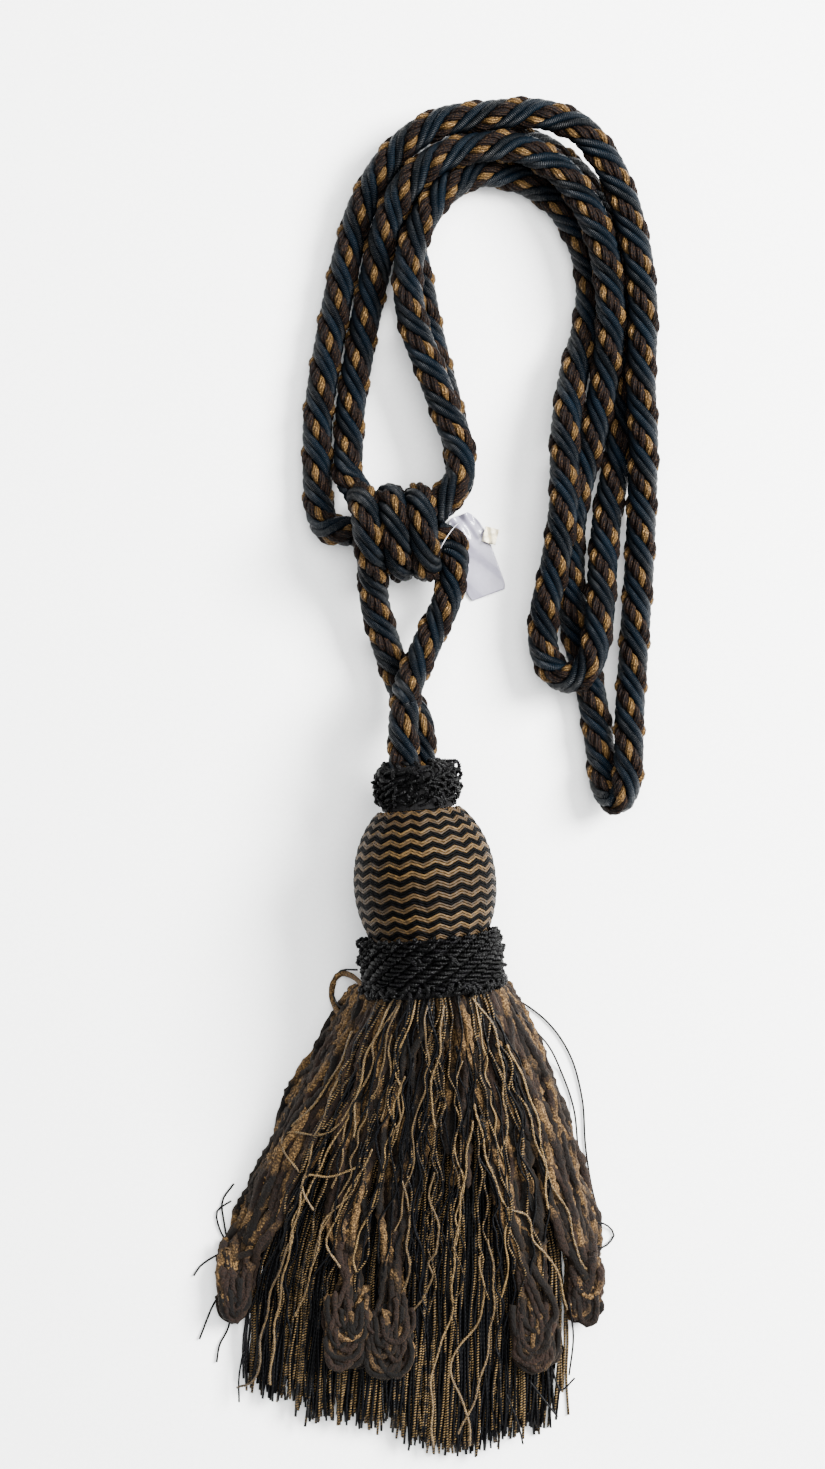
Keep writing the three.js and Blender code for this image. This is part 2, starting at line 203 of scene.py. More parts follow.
class Threads:
    """Round threads swept along their paths and gathered into one mesh."""

    def __init__(self):
        self.points, self.corners, self.sizes, self.maps = [], [], [], []
        self.finishes, self.dyes, self.shades = [], [], []
        self.count = 0

    def sweep(self, path, radius, sides=6, facing=UP, finish=0, dye=0.0, flat=1.0, rough=0.0):
        path = np.asarray(path, float)
        rings = len(path)
        tangent = unit(np.gradient(path, axis=0))
        side = unit(np.cross(tangent, facing) + 1e-9)
        up = np.cross(side, tangent)
        angle = TAU * np.arange(sides) / sides
        ring = side[:, None] * (np.cos(angle) * flat)[None, :, None]
        ring = ring + up[:, None] * np.sin(angle)[None, :, None]
        size = np.broadcast_to(radius, (rings,))[:, None] * np.ones(sides)
        if rough:
            size = size * (1 + chance.uniform(-rough, rough, size.shape))
        self.points.append((path[:, None] + ring * size[:, :, None]).reshape(-1, 3))
        i = np.arange(rings - 1)[:, None] * sides
        j = np.arange(sides)[None, :]
        after = (j + 1) % sides
        quads = np.stack([i + j, i + sides + j, i + sides + after, i + after], -1)
        start = np.arange(sides)
        end = start[::-1] + (rings - 1) * sides
        corners = np.concatenate([quads.ravel(), start, end]) + self.count
        self.corners.append(corners)
        self.sizes.append(np.array([4] * (rings - 1) * sides + [sides, sides]))
        length = travel(path)
        low = np.broadcast_to(length[:-1, None], (rings - 1, sides))
        high = np.broadcast_to(length[1:, None], (rings - 1, sides))
        left = np.broadcast_to(j / sides, low.shape)
        right = left + 1 / sides
        wall = np.stack([left, low, left, high, right, high, right, low], -1).reshape(-1, 2)
        caps = np.column_stack([np.full(2 * sides, 0.5), np.repeat(length[[0, -1]], sides)])
        self.maps.append(np.vstack([wall, caps]))
        self.finishes.append(np.full((rings - 1) * sides + 2, finish))
        self.dyes.append(np.repeat(np.broadcast_to(dye, (rings,)), sides))
        self.shades.append(np.full(rings * sides, chance.uniform()))
        self.count += rings * sides

    def make(self, name, materials):
        mesh = bpy.data.meshes.new(name)
        points = np.vstack(self.points) * MM
        corners = np.concatenate(self.corners)
        sizes = np.concatenate(self.sizes)
        mesh.vertices.add(len(points))
        mesh.vertices.foreach_set("co", points.astype(np.float32).ravel())
        mesh.loops.add(len(corners))
        mesh.loops.foreach_set("vertex_index", corners.astype(np.int32))
        mesh.polygons.add(len(sizes))
        starts = np.concatenate([[0], np.cumsum(sizes)[:-1]])
        mesh.polygons.foreach_set("loop_start", starts.astype(np.int32))
        mesh.update(calc_edges=True)
        mesh.uv_layers.new(name="UVMap")
        mesh.uv_layers[0].data.foreach_set("uv", np.vstack(self.maps).astype(np.float32).ravel())
        for label, values in (("dye", self.dyes), ("shade", self.shades)):
            attribute = mesh.attributes.new(label, "FLOAT", "POINT")
            attribute.data.foreach_set("value", np.concatenate(values).astype(np.float32))
        mesh.polygons.foreach_set("material_index", np.concatenate(self.finishes).astype(np.int32))
        mesh.polygons.foreach_set("use_smooth", np.ones(len(sizes), bool))
        for material in materials:
            mesh.materials.append(material)
        piece = bpy.data.objects.new(name, mesh)
        bpy.context.scene.collection.objects.link(piece)
        return piece


def twisted_pair(threads, path, radius, apart, lead, finishes, sides=6, facing=UP):
    """Two plies turned about one path."""
    tangent = unit(np.gradient(path, axis=0))
    side = unit(np.cross(tangent, facing) + 1e-9)
    up = np.cross(side, tangent)
    spin = TAU * travel(path) / lead + chance.uniform(0, TAU)
    for ply, finish in enumerate(finishes):
        turn = (spin + math.pi * ply)[:, None]
        offset = side * np.cos(turn) + up * np.sin(turn)
        threads.sweep(path + apart * offset, radius, sides, facing, finish)


# ---- finishes ------------------------------------------------------------------------


def colour(code):
    """A shader colour from a hexadecimal one."""
    parts = [int(code[i:i + 2], 16) / 255 for i in (1, 3, 5)]
    return (*[((p + 0.055) / 1.055) ** 2.4 if p > 0.04 else p / 12.92 for p in parts], 1)


class Socket:
    """A shader output that takes part in ordinary sums."""

    def __init__(self, finish, output):
        self.finish = finish
        self.output = output

    def sum(self, operation, *values):
        inputs = dict(enumerate(values))
        return self.finish.node("ShaderNodeMath", {"operation": operation}, inputs)

    def __add__(self, other):
        return self.sum("ADD", self, other)

    def __sub__(self, other):
        return self.sum("SUBTRACT", self, other)

    def __rsub__(self, other):
        return self.sum("SUBTRACT", other, self)

    def __mul__(self, other):
        return self.sum("MULTIPLY", self, other)

    __radd__ = __add__
    __rmul__ = __mul__

    def sine(self):
        return self.sum("SINE", self)

    def above(self, low, high):
        """0 below low, 1 above high."""
        inputs = {"Value": self, "From Min": low, "From Max": high}
        return self.finish.node("ShaderNodeMapRange", {"clamp": True}, inputs)


class Finish:
    """A material with one Principled shader."""

    def __init__(self, name, **settings):
        self.material = bpy.data.materials.new(name)
        self.material.use_nodes = True
        self.nodes = self.material.node_tree.nodes
        self.links = self.material.node_tree.links
        self.shader = self.nodes["Principled BSDF"]
        for label, value in settings.items():
            self.shader.inputs[label.replace("_", " ")].default_value = value

    def node(self, kind, settings=None, inputs=None, output=0):
        made = self.nodes.new(kind)
        for label, value in (settings or {}).items():
            if label == "stops":
                self.set_stops(made.color_ramp, value)
            else:
                setattr(made, label, value)
        for label, value in (inputs or {}).items():
            self.put(made.inputs[label], value)
        return Socket(self, made.outputs[output])

    def set_stops(self, ramp, stops):
        while len(ramp.elements) < len(stops):
            ramp.elements.new(0.5)
        for element, (place, shade) in zip(ramp.elements, stops):
            element.position = place
            element.color = colour(shade)

    def put(self, target, value):
        if isinstance(value, Socket):
            self.links.new(value.output, target)
        else:
            target.default_value = value

    def feed(self, label, value):
        self.put(self.shader.inputs[label], value)

    def across_and_along(self):
        """Round the thread from 0 to 1, and along it in millimetres."""
        place = self.node("ShaderNodeUVMap", {"uv_map": "UVMap"})
        return [self.node("ShaderNodeSeparateXYZ", inputs={0: place}, output=k) for k in (0, 1)]

    def noise(self, scale, detail=2.0):
        place = self.node("ShaderNodeTexCoord", output="Object")
        inputs = {"Vector": place, "Scale": scale, "Detail": detail}
        return self.node("ShaderNodeTexNoise", {}, inputs)

    def attribute(self, name):
        return self.node("ShaderNodeAttribute", {"attribute_name": name}, output="Fac")

    def ramp(self, value, *stops):
        return self.node("ShaderNodeValToRGB", {"stops": stops}, {0: value})

    def mix(self, share, first, second):
        settings = {"data_type": "RGBA"}
        return self.node("ShaderNodeMix", settings, {0: share, 6: first, 7: second}, 2)

    def bump(self, height, strength, distance):
        inputs = {"Strength": strength, "Distance": distance * MM, "Height": height}
        self.feed("Normal", self.node("ShaderNodeBump", {}, inputs))


def black_cord_finish():
    """Satin cord: navy black, with fine ribs round it."""
    finish = Finish("black_satin_cord", Specular_IOR_Level=0.08)
    across, along = finish.across_and_along()
    ribs = (along * (TAU / 0.55) + across * TAU).sine()
    patches = finish.noise(140)
    shade = 0.5 * patches + 0.18 * ribs + 0.35 * finish.attribute("shade")
    finish.feed("Base Color", finish.ramp(shade, (0.15, "#000102"), (0.55, "#01050a"), (0.9, "#040f18")))
    finish.feed("Roughness", 0.3 + 0.2 * finish.noise(900))
    finish.bump(ribs + 1.4 * finish.noise(2600), 0.7, 0.2)
    return finish.material


def ply_finish(name, dark, middle, light, metal, gloss):
    """One ply of a speckled strand, itself laid from finer threads."""
    finish = Finish(name, Specular_IOR_Level=0.05)
    across, along = finish.across_and_along()
    threads = (across * (TAU * 7) + along * (TAU / 2.2)).sine()
    glints = finish.noise(2600, 1).above(0.52, 0.68)
    shade = 0.34 + 0.1 * threads + 0.35 * glints + 0.3 * (finish.noise(260) - 0.5)
    finish.feed("Base Color", finish.ramp(shade, (0.08, dark), (0.45, middle), (0.92, light)))
    finish.feed("Metallic", metal * (0.35 + 0.65 * glints))
    finish.feed("Roughness", gloss + 0.25 * finish.noise(1500))
    finish.bump(threads + glints, 0.7, 0.2)
    return finish.material


def fine_thread_finish(name, dark, middle, light, rough, pitch, shine=0.3, lines=0.2):
    """A spun thread with its twist showing as slanting lines."""
    finish = Finish(name, Specular_IOR_Level=shine)
    across, along = finish.across_and_along()
    twist = (across * (TAU * 2) + along * (TAU / pitch)).sine()
    uneven = 0.5 * (finish.noise(700) - 0.5) + 0.3 * (finish.attribute("shade") - 0.5)
    shade = 0.42 + lines * twist + uneven
    finish.feed("Base Color", finish.ramp(shade, (0.1, dark), (0.5, middle), (0.95, light)))
    finish.feed("Roughness", rough + 0.15 * finish.noise(1200))
    finish.bump(twist + finish.noise(3000), 0.45, 0.1)
    return finish.material


def striped_cord_finish():
    """Black cut cord with a gold thread winding round it."""
    finish = Finish("gold_striped_cord", Specular_IOR_Level=0.1)
    across, along = finish.across_and_along()
    winding = (across * TAU + along * (TAU / 0.95)).sine()
    # The gold thread shows only in patches, where the dye attribute plus noise is high; elsewhere the
    # cord is plain black.
    gold_patches = (finish.attribute("dye") + 0.9 * (finish.noise(330) - 0.5)).above(0.4, 0.6)
    gold = winding.above(0.0, 0.5) * gold_patches
    black = finish.ramp(finish.noise(900), (0.3, "#010101"), (0.7, "#050506"))
    tan = finish.ramp(finish.noise(1800), (0.3, "#251b0d"), (0.7, "#745d39"))
    finish.feed("Base Color", finish.mix(gold, black, tan))
    finish.feed("Roughness", 0.5 - 0.1 * gold)
    finish.bump(winding + finish.noise(2600), 0.5, 0.12)
    return finish.material


def chenille_finish():
    """Velvety yarn, dyed in lengths of dark brown and tan; its dye attribute also carries painted shade,
    less tan on the looped ends.
    """
    finish = Finish("space_dyed_chenille", Specular_IOR_Level=0.12, Sheen_Weight=0.06)
    finish.shader.inputs["Sheen Tint"].default_value = colour("#a98660")
    pile = finish.noise(1500, 4)
    mottle = finish.noise(330, 3)
    share = (finish.attribute("dye") + 0.3 * (mottle - 0.5)).above(0.46, 0.74)
    brown = finish.ramp(pile + 0.6 * (finish.attribute("shade") - 0.5),
                        (0.25, "#010101"), (0.5, "#060403"), (0.8, "#1a100b"))
    tan = finish.ramp(pile, (0.32, "#150e07"), (0.5, "#3a2a16"), (0.68, "#705736"))
    finish.feed("Base Color", finish.mix(share, brown, tan))
    finish.feed("Roughness", 0.75 + 0.2 * pile)
    finish.bump(pile + 0.7 * mottle, 1.0, 0.8)
    return finish.material


def woven_finish(name, dark, light, scale):
    """Close plain weave, for the bands under the loops and the fringe's dark inside."""
    finish = Finish(name, Specular_IOR_Level=0.1)
    weave = finish.noise(scale, 3)
    finish.feed("Base Color", finish.ramp(weave, (0.3, dark), (0.75, light)))
    finish.feed("Roughness", 0.7 + 0.2 * weave)
    finish.bump(weave, 0.8, 0.5)
    return finish.material


def wood_finish():
    """Plain turned wood with rings."""
    finish = Finish("turned_wood")
    place = finish.node("ShaderNodeTexCoord", output="Object")
    settings = {"wave_type": "RINGS", "rings_direction": "Y"}
    rings = finish.node("ShaderNodeTexWave", settings, {"Vector": place, "Scale": 160, "Distortion": 3})
    finish.feed("Base Color", finish.ramp(rings, (0.1, "#8a6236"), (0.9, "#c49a66")))
    finish.feed("Roughness", 0.5 + 0.15 * rings)
    finish.bump(rings, 0.2, 0.2)
    return finish.material


def film_finish():
    """Milky plastic film."""
    finish = Finish("milky_film", Coat_Weight=0.4, IOR=1.45)
    cloud = finish.noise(170, 3)
    finish.feed("Base Color", finish.ramp(cloud, (0.3, "#6c6977"), (0.7, "#7d7a88")))
    finish.feed("Roughness", 0.22 + 0.2 * cloud)
    finish.bump(finish.noise(420), 0.25, 0.4)
    return finish.material


def paper_finish():
    """Crumpled cream paper."""
    finish = Finish("cream_paper")
    crumple = finish.noise(900, 4)
    finish.feed("Base Color", finish.ramp(crumple, (0.3, "#cfc3a2"), (0.7, "#f1e9d2")))
    finish.feed("Roughness", 0.75 + 0.15 * crumple)
    finish.bump(crumple, 0.7, 0.5)
    return finish.material


def nylon_finish():
    """Clear shiny thread."""
    finish = Finish("nylon_thread", IOR=1.5)
    glint = finish.noise(1200)
    finish.feed("Base Color", finish.ramp(glint, (0.3, "#6f6b73"), (0.7, "#b5b2b8")))
    finish.feed("Roughness", 0.15 + 0.2 * glint)
    return finish.material


BLACK_CORD = black_cord_finish()
DARK_PLY = ply_finish("dark_lurex_ply", "#010101", "#060303", "#3b2a1c", 0.1, 0.5)
GOLD_PLY = ply_finish("gold_lurex_ply", "#110b05", "#372712", "#94744a", 0.35, 0.3)
GOLD_WEAVE = fine_thread_finish(
    "gold_cover_thread", "#100b05", "#30220e", "#644d29", 0.5, 2.6, 0.15, 0.06)
BLACK_WEAVE = fine_thread_finish(
    "black_cover_thread", "#010101", "#020202", "#08070a", 0.5, 2.6, 0.02)
BULLION = fine_thread_finish("ruff_thread", "#010101", "#020202", "#08060a", 0.36, 1.0, 0.07)
BLACK_CUT = fine_thread_finish("black_cut_cord", "#010101", "#020203", "#07080c", 0.4, 1.6, 0.08)
GOLD_CORD = fine_thread_finish("gold_fringe_cord", "#120c05", "#44341a", "#957848", 0.45, 0.9, 0.3)
STRIPED_CORD = striped_cord_finish()
CHENILLE = chenille_finish()
DARK_WEAVE = woven_finish("dark_woven_band", "#010101", "#070607", 1400)
FRINGE_DARK = woven_finish("fringe_inside", "#010101", "#060507", 900)
ROPE_FINISHES = [BLACK_CORD, DARK_PLY, GOLD_PLY]

# ---- camera --------------------------------------------------------------------------

CAMERA_AT = (-4, 160, 1010)
camera = bpy.data.objects.new("camera", bpy.data.cameras.new("camera"))
camera.location = [value * MM for value in CAMERA_AT]
camera.data.sensor_fit = "VERTICAL"
camera.data.sensor_height = 36
camera.data.lens = 71.2
camera.data.clip_end = 20
bpy.context.scene.collection.objects.link(camera)
bpy.context.scene.camera = camera

# ---- rope pieces ---------------------------------------------------------------------


def rope_threads(spine):
    """The ten threads of a rope: path, radius, direction they face, finish, spacing."""
    length = travel(spine)
    tangent, normal = carried_normals(spine)
    binormal = np.cross(tangent, normal)
    for strand in range(4):
        turn = (TAU * strand / 4 - TAU * length / ROPE_LEAD)[:, None]
        out = normal * np.cos(turn) + binormal * np.sin(turn)
        middle = spine + (SPECKLED_AT if strand % 2 else BLACK_AT) * out
        across = np.cross(unit(np.gradient(middle, axis=0)), out)
        if strand % 2:
            for ply in range(3):
                spin = (TAU * length / PLY_LEAD + TAU * ply / 3)[:, None]
                path = middle + PLY_AT * (out * np.cos(spin) + across * np.sin(spin))
                if ply == 0:
                    showing = np.maximum(np.cos(spin[:, 0]), 0) ** 2
                    yield path, GOLD_PLY_RADIUS * (GOLD_HIDDEN + (1 - GOLD_HIDDEN) * showing), out, 2, 1
                else:
                    yield path, DARK_PLY_RADIUS, out, 1, 1
        else:
            for side in (-1, 1):
                yield middle + CORD_AT * side * across, CORD_RADIUS, out, 0, 2


def lay_rope(threads, spine, part=slice(None)):
    """Adds the part of a rope that a slice of its length picks."""
    for path, radius, out, finish, spacing in rope_threads(spine):
        size = np.broadcast_to(radius, (len(path),))
        threads.sweep(path[part][::spacing], size[part][::spacing], 8, out[part][::spacing], finish)


def free_rope(name, points):
    """One of the two loops: a cord held at both ends by the knot."""
    spine = curve(points, ROPE_STEP)
    spine[:, 2] = np.maximum(spine[:, 2], ROPE_FLOOR)
    threads = Threads()
    lay_rope(threads, spine)
    piece = threads.make(name, ROPE_FINISHES)
    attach(piece, "rope")
    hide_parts(name.replace("_rope", ""))
    return piece


def wrap_points():
    """The three turns round the knot: up the front, over the top and down behind."""
    points = []
    steps = 12
    for turn, (foot, top) in enumerate(WRAPS):
        following = WRAPS[turn + 1][0] if turn + 1 < len(WRAPS) else TUCK_X
        first = 1 if turn == 0 else 0
        for k in range(first, steps):
            angle = TAU * k / steps - TAU / 4
            if 2 * k <= steps:
                x = foot + (top - foot) * 2 * k / steps
            else:
                x = top + (following - top) * (2 * k / steps - 1)
            y = KNOT_CENTRE[1] + WRAP_RISE * math.sin(angle)
            z = KNOT_CENTRE[2] + WRAP_DEPTH * math.cos(angle)
            points.append((x, y, z))
    return points[:-1]


def add_knot_and_legs():
    left = curve(LEFT_LEG + wrap_points(), ROPE_STEP)
    right = curve(RIGHT_LEG, ROPE_STEP)
    ends = Threads()
    nodes = {
        "knot_and_left_leg": ["knot_wraps", "tucked_strands", "left_leg"],
        "right_leg_rope": ["right_leg"],
    }
    for (name, replaced), spine in zip(nodes.items(), (left, right)):
        split = int(np.argmax(spine[:, 1] > LEG_SPLIT)) // 2 * 2
        upper = Threads()
        lay_rope(upper, spine, slice(split, None))
        lay_rope(ends, spine, slice(0, split + 1))
        piece = upper.make(name, ROPE_FINISHES)
        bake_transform(piece)
        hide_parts(*replaced)
    piece = ends.make("leg_end_ropes", ROPE_FINISHES)
    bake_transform(piece)
    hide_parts("left_leg_end", "right_leg_end", "left_tail", "right_tail")


free_rope("long_loop_rope", LONG_LOOP)
free_rope("short_loop_rope", SHORT_LOOP)
add_knot_and_legs()

# ---- tassel head ---------------------------------------------------------------------


def on_tassel(local):
    """From the tassel's own axes, with Y along it, to the table's."""
    local = np.asarray(local, float)
    x = local[..., 0] * math.cos(TASSEL_LEAN) - local[..., 1] * math.sin(TASSEL_LEAN)
    y = local[..., 0] * math.sin(TASSEL_LEAN) + local[..., 1] * math.cos(TASSEL_LEAN)
    return np.stack([x, y, local[..., 2]], -1) + TASSEL_CENTRE


def round_axis(angle, radius, along):
    """A point at an angle round the tassel's axis, with 0 at the top of the lying tassel."""
    return on_tassel(np.stack([radius * np.sin(angle), along, radius * np.cos(angle)], -1))


def away_from_axis(angle):
    return on_tassel(np.stack([np.sin(angle), 0 * angle, np.cos(angle)], -1)) - TASSEL_CENTRE


def ride_tassel(piece, slot, *nodes):
    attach(piece, "tassel")
    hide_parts(*nodes)
    return piece


def head_radius(along):
    return HEAD_RADIUS * np.sqrt(1 - ((along - HEAD_MIDDLE) / HEAD_HALF) ** 2)


def add_head():
    """A dark egg under two gold and two black threads to each zigzag band."""
    bpy.ops.object.select_all(action="DESELECT")
    bpy.ops.mesh.primitive_uv_sphere_add(segments=64, ring_count=40, radius=1)
    base = bpy.context.object
    base.name = base.data.name = "head_lining"
    shrink = 0.45
    base.scale = [(HEAD_RADIUS - shrink) * MM, (HEAD_RADIUS - shrink) * MM, HEAD_HALF * MM]
    base.rotation_euler = (-math.pi / 2, 0, 0)
    bpy.ops.object.transform_apply(location=False, rotation=True, scale=True)
    base.location = (0, HEAD_MIDDLE * MM, 0)
    bpy.ops.object.transform_apply(location=True, rotation=False, scale=False)
    bpy.ops.object.mode_set(mode="EDIT")
    for cut, facing in ((HEAD_TOP, 1), (HEAD_BOTTOM, -1)):
        bpy.ops.mesh.select_all(action="SELECT")
        bpy.ops.mesh.bisect(plane_co=(0, cut * MM, 0), plane_no=(0, facing, 0), use_fill=True,
                            clear_outer=True)
    bpy.ops.object.mode_set(mode="OBJECT")
    base.location = TASSEL_CENTRE * MM
    base.rotation_euler = (0, 0, TASSEL_LEAN)
    bpy.ops.object.transform_apply(location=True, rotation=True, scale=True)
    bpy.ops.object.shade_smooth()
    base.data.materials.append(DARK_WEAVE)
    ride_tassel(base, "zigzag_weave")

    along = np.linspace(HEAD_TOP, HEAD_BOTTOM, 200)
    outline = np.column_stack([head_radius(along), along, 0 * along])
    depth = travel(outline)
    threads = Threads()
    count = int(depth[-1] / BAND_PITCH * BAND_THREADS)
    corner = np.arange(ZIGZAGS * 6 + 1)
    angle = math.pi + TAU * corner / (ZIGZAGS * 6)
    wave = ZIGZAG_RISE * (np.abs((corner % 6) - 3) / 1.5 - 1)
    for row in range(1, count - 1):
        middle = row * BAND_PITCH / BAND_THREADS
        gold = row % BAND_THREADS in (1, 2)
        run = np.clip(middle + wave, 0, depth[-1])
        radius = np.interp(run, depth, outline[:, 0]) - (0.08 if gold else 0.05)
        height = np.interp(run, depth, along)
        path = round_axis(angle, radius, height)
        size = 0.46 if gold else 0.58
        threads.sweep(path, size, 6, away_from_axis(angle), 0 if gold else 1)
    cover = threads.make("zigzag_cover", [GOLD_WEAVE, BLACK_WEAVE])
    ride_tassel(cover, "zigzag_weave", "head_cover")


def curl(threads, angle, along, radius, size):
    """A small loop of bullion standing out from a band, turned any way."""
    reach = math.radians(chance.uniform(125, 160))
    t = np.linspace(-reach, reach, 19)
    turn = chance.uniform(0, math.pi)
    lift = size * (np.cos(t) + 0.4)
    slide = size * chance.uniform(0.7, 1.0) * np.sin(t)
    sway = slide * math.cos(turn) + 0.25 * size * np.cos(2 * t)
    path = round_axis(angle + sway / radius, radius + lift, along + slide * math.sin(turn))
    twisted_pair(threads, path, 0.44, 0.4, 1.8, (0, 0), 5, away_from_axis(angle + 0 * t))


def ridge(threads, angle, low, high, radius):
    """A thick twist of bullion slanting up the lower ruff."""
    t = np.linspace(0, 1, 84)
    along = low + (high - low) * t
    slant = (high - low) * t * RIDGE_SLANT
    middle = radius + 0.8 * np.sin(math.pi * t) ** 0.5
    spin = TAU * t * (high - low) * 1.8 / 4.6 + chance.uniform(0, TAU)
    for strand in (0, math.pi):
        out = middle + 0.95 * np.cos(spin + strand)
        side = 1.05 * np.sin(spin + strand)
        path = round_axis(angle + (slant + side) / radius, out, along - 0.6 * side)
        twisted_pair(threads, path, 0.52, 0.48, 2.0, (0, 0), 5, away_from_axis(angle + 0 * t))


def add_ruffs():
    upper = Threads()
    for k in range(UPPER_CURLS):
        angle = TAU * (k * GOLDEN % 1)
        share = (k + 0.5) / UPPER_CURLS
        along = UPPER_RUFF[0] + (UPPER_RUFF[1] - UPPER_RUFF[0]) * share
        lump = math.sin(5 * angle) + 0.6 * math.sin(8 * angle + 0.4 * along)
        radius = UPPER_RUFF_RADIUS + 0.7 * lump - UPPER_ROUNDING * (2 * share - 1) ** 4
        curl(upper, angle, along, radius, chance.uniform(1.4, 2.4))
    piece = upper.make("upper_ruff", [BULLION])
    ride_tassel(piece, "ruff", "upper_ruff_loops")

    lower = Threads()
    low, high = LOWER_RUFF
    for k in range(RIDGES):
        ridge(lower, TAU * k / RIDGES, low + 0.5, high, LOWER_RUFF_RADIUS)
    for k in range(LOWER_CURLS):
        angle = TAU * (k * GOLDEN % 1)
        edge = chance.uniform() < 0.7
        along = low + 0.8 + chance.uniform(0, 2) if edge else chance.uniform(low, high)
        radius = LOWER_RUFF_RADIUS + 0.4 * math.sin(7 * angle)
        curl(lower, angle, along, radius, chance.uniform(1.3, 2.2))
    piece = lower.make("lower_ruff", [BULLION])
    ride_tassel(piece, "ruff", "lower_ruff_loops")


def add_stopper():
    """The knot that keeps the legs in the head: rope coiled round the tassel's axis."""
    t = np.linspace(0, 1, 60)
    along = 0.5 - STOPPER_LENGTH * t
    spine = resample(round_axis(STOPPER_TURNS * TAU * t, STOPPER_RADIUS, along), ROPE_STEP)
    threads = Threads()
    lay_rope(threads, spine)
    ride_tassel(threads.make("stopper_rope", ROPE_FINISHES), "rope", "stopper_knot")


# ---- fringe --------------------------------------------------------------------------


def spread_height(spread, x, y):
    """Height of a spread's domed top above the table at a place."""
    left, right, height = (np.interp(y, spread[:, 0], spread[:, k]) for k in (1, 2, 3))
    place = np.clip((x - (left + right) / 2) / ((right - left) / 2), -1, 1)
    return height * (1 - place ** 2) ** 0.4


def top_height(x, y):
    return np.maximum(spread_height(CUT_SPREAD, x, y), spread_height(CHENILLE_SPREAD, x, y))


def laid_on_top(points, lift, step, sway=0.0):
    """A route over the fringe from its X and Y, swaying from side to side."""
    flat = curve([(x, y, 0) for x, y in points], step)
    flat[:, 0] += sway * np.sin(flat[:, 1] / 2.6 + points[0][0])
    flat[:, 2] = np.maximum(top_height(flat[:, 0], flat[:, 1]), 0) + lift
    smooth = np.convolve(np.pad(flat[:, 2], 3, mode="edge"), np.ones(7) / 7, "valid")
    flat[:, 2] = smooth
    return flat


CORE_FLOOR = 1.4          # the lowest cut cords lie under the core
CORE_ENDS = (78, -60)     # along Y
CORE_RINGS = 60
CORE_SIDES = 120
CORE_SHARE = 0.86         # of the cut cords' height


def add_fringe_core():
    """The dark mass inside the fringe, ridged along its cords."""
    rings = []
    around = TAU * np.arange(CORE_SIDES) / CORE_SIDES
    rise = np.maximum(np.sin(around), 0) ** 0.8
    ripple = np.sin(np.arange(CORE_SIDES) * 2.1) * 0.6 + chance.uniform(-0.5, 0.5, CORE_SIDES)
    for y in np.linspace(*CORE_ENDS, CORE_RINGS):
        left, right, height = (np.interp(y, CUT_SPREAD[:, 0], CUT_SPREAD[:, k]) for k in (1, 2, 3))
        inset = 1.5 + 4 * max(0, (-40 - y) / 20)
        x = (left + right) / 2 + ((right - left) / 2 - inset) * np.cos(around)
        z = CORE_FLOOR + np.maximum((CORE_SHARE * height - 2 + ripple) * rise, 0)
        rings.append(np.column_stack([x, np.full(CORE_SIDES, y), z]))
    faces = []
    for i in range(CORE_RINGS - 1):
        for j in range(CORE_SIDES):
            a = i * CORE_SIDES + j
            b = i * CORE_SIDES + (j + 1) % CORE_SIDES
            faces.append((a, b, b + CORE_SIDES, a + CORE_SIDES))
    last = (CORE_RINGS - 1) * CORE_SIDES
    faces.append(tuple(range(CORE_SIDES))[::-1])
    faces.append(tuple(range(last, last + CORE_SIDES)))
    mesh = bpy.data.meshes.new("fringe_core")
    mesh.from_pydata([tuple(p * MM) for p in np.vstack(rings)], [], faces)
    mesh.materials.append(FRINGE_DARK)
    piece = bpy.data.objects.new("fringe_core", mesh)
    bpy.context.scene.collection.objects.link(piece)
    ride_tassel(piece, "cut_cord", "fringe_heading")


# Layers of cut cords, from the top down: share of the height and number of cords.
CUT_LAYERS = [(1.0, 150), (0.84, 120), (0.58, 90), (0.25, 60), (0, 180)]
CUT_TOP = 76
CUT_POINTS = 12


def add_cut_cords():
    """Straight cords from the heading to the hem, more of them striped in the middle."""
    threads = Threads()
    for share, count in CUT_LAYERS:
        for k in range(count):
            place = -1 + 2 * (k + chance.uniform(0.1, 0.9)) / count
            place *= 0.985
            x_end = -8 + 53.5 * place
            hem = np.interp(x_end, HEM[:, 0], HEM[:, 1]) + chance.uniform(-3, 6)
            points = []
            drift = np.cumsum(chance.uniform(-1.5, 1.5, CUT_POINTS))
            for step, y in enumerate(np.linspace(CUT_TOP, hem, CUT_POINTS)):
                left, right, height = (
                    np.interp(y, CUT_SPREAD[:, 0], CUT_SPREAD[:, c]) for c in (1, 2, 3))
                x = (left + right) / 2 + (right - left) / 2 * place + drift[step]
                z = 0.7 + max(0, height - 1.3) * (1 - place ** 2) ** 0.4 * share
                z += chance.uniform(-0.5, 0.5)
                points.append((x, y, max(z, 0.65)))
            path = curve(points, 5)
            striped_share = 0.62 if abs(place) < 0.35 else 0.3
            striped = chance.uniform() < striped_share
            radius = chance.uniform(0.4, 0.54)
            threads.sweep(path, radius, 5, UP, 1 if striped else 0, dye=chance.uniform(0.35, 0.85))
    piece = threads.make("cut_cords", [BLACK_CUT, STRIPED_CORD])
    ride_tassel(piece, "cut_cord", "cut_fringe")


